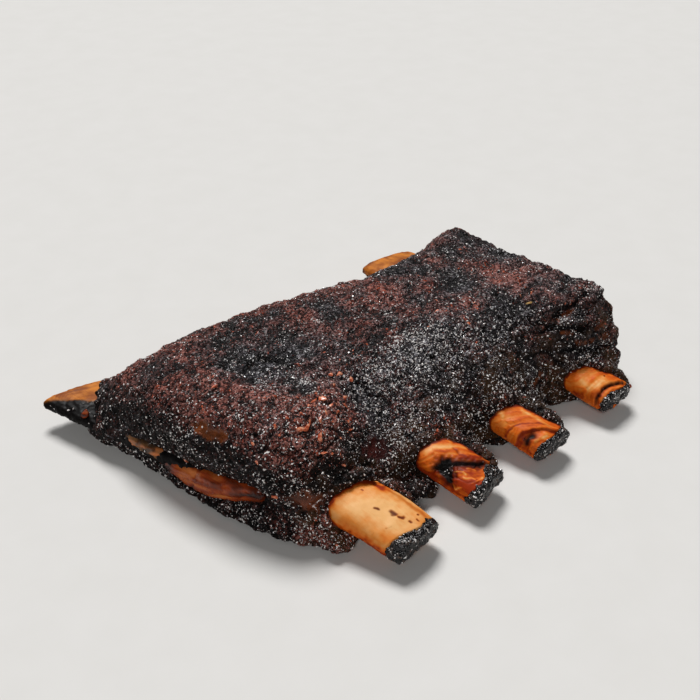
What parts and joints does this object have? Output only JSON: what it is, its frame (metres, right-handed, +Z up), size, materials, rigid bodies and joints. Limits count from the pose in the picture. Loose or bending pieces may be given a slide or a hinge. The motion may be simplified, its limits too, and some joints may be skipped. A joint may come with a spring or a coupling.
{
  "type": "rack of ribs",
  "caption": "Whole rack of smoked beef short ribs: a slab of meat under a dark bark crust, with bare rib bones standing out at both ends.",
  "frame": {"origin": "middle of the rack's bounding box in plan, on the surface it lies on", "axes": "+X across the bones, from the widest end bone to the narrowest; +Y along the bones, away from the sawn bare ends; +Z up"},
  "size_m": [0.2844, 0.2218, 0.06],
  "materials": {
    "bark": "coarse dark crust, greasy in patches",
    "bone": "smooth smoke-stained bone, satin"
  },
  "bodies": {
    "root": {"meat": "bark", "bone_1": "bone", "bone_2": "bone", "bone_3": "bone", "bone_4": "bone"}
  },
  "joints": []
}
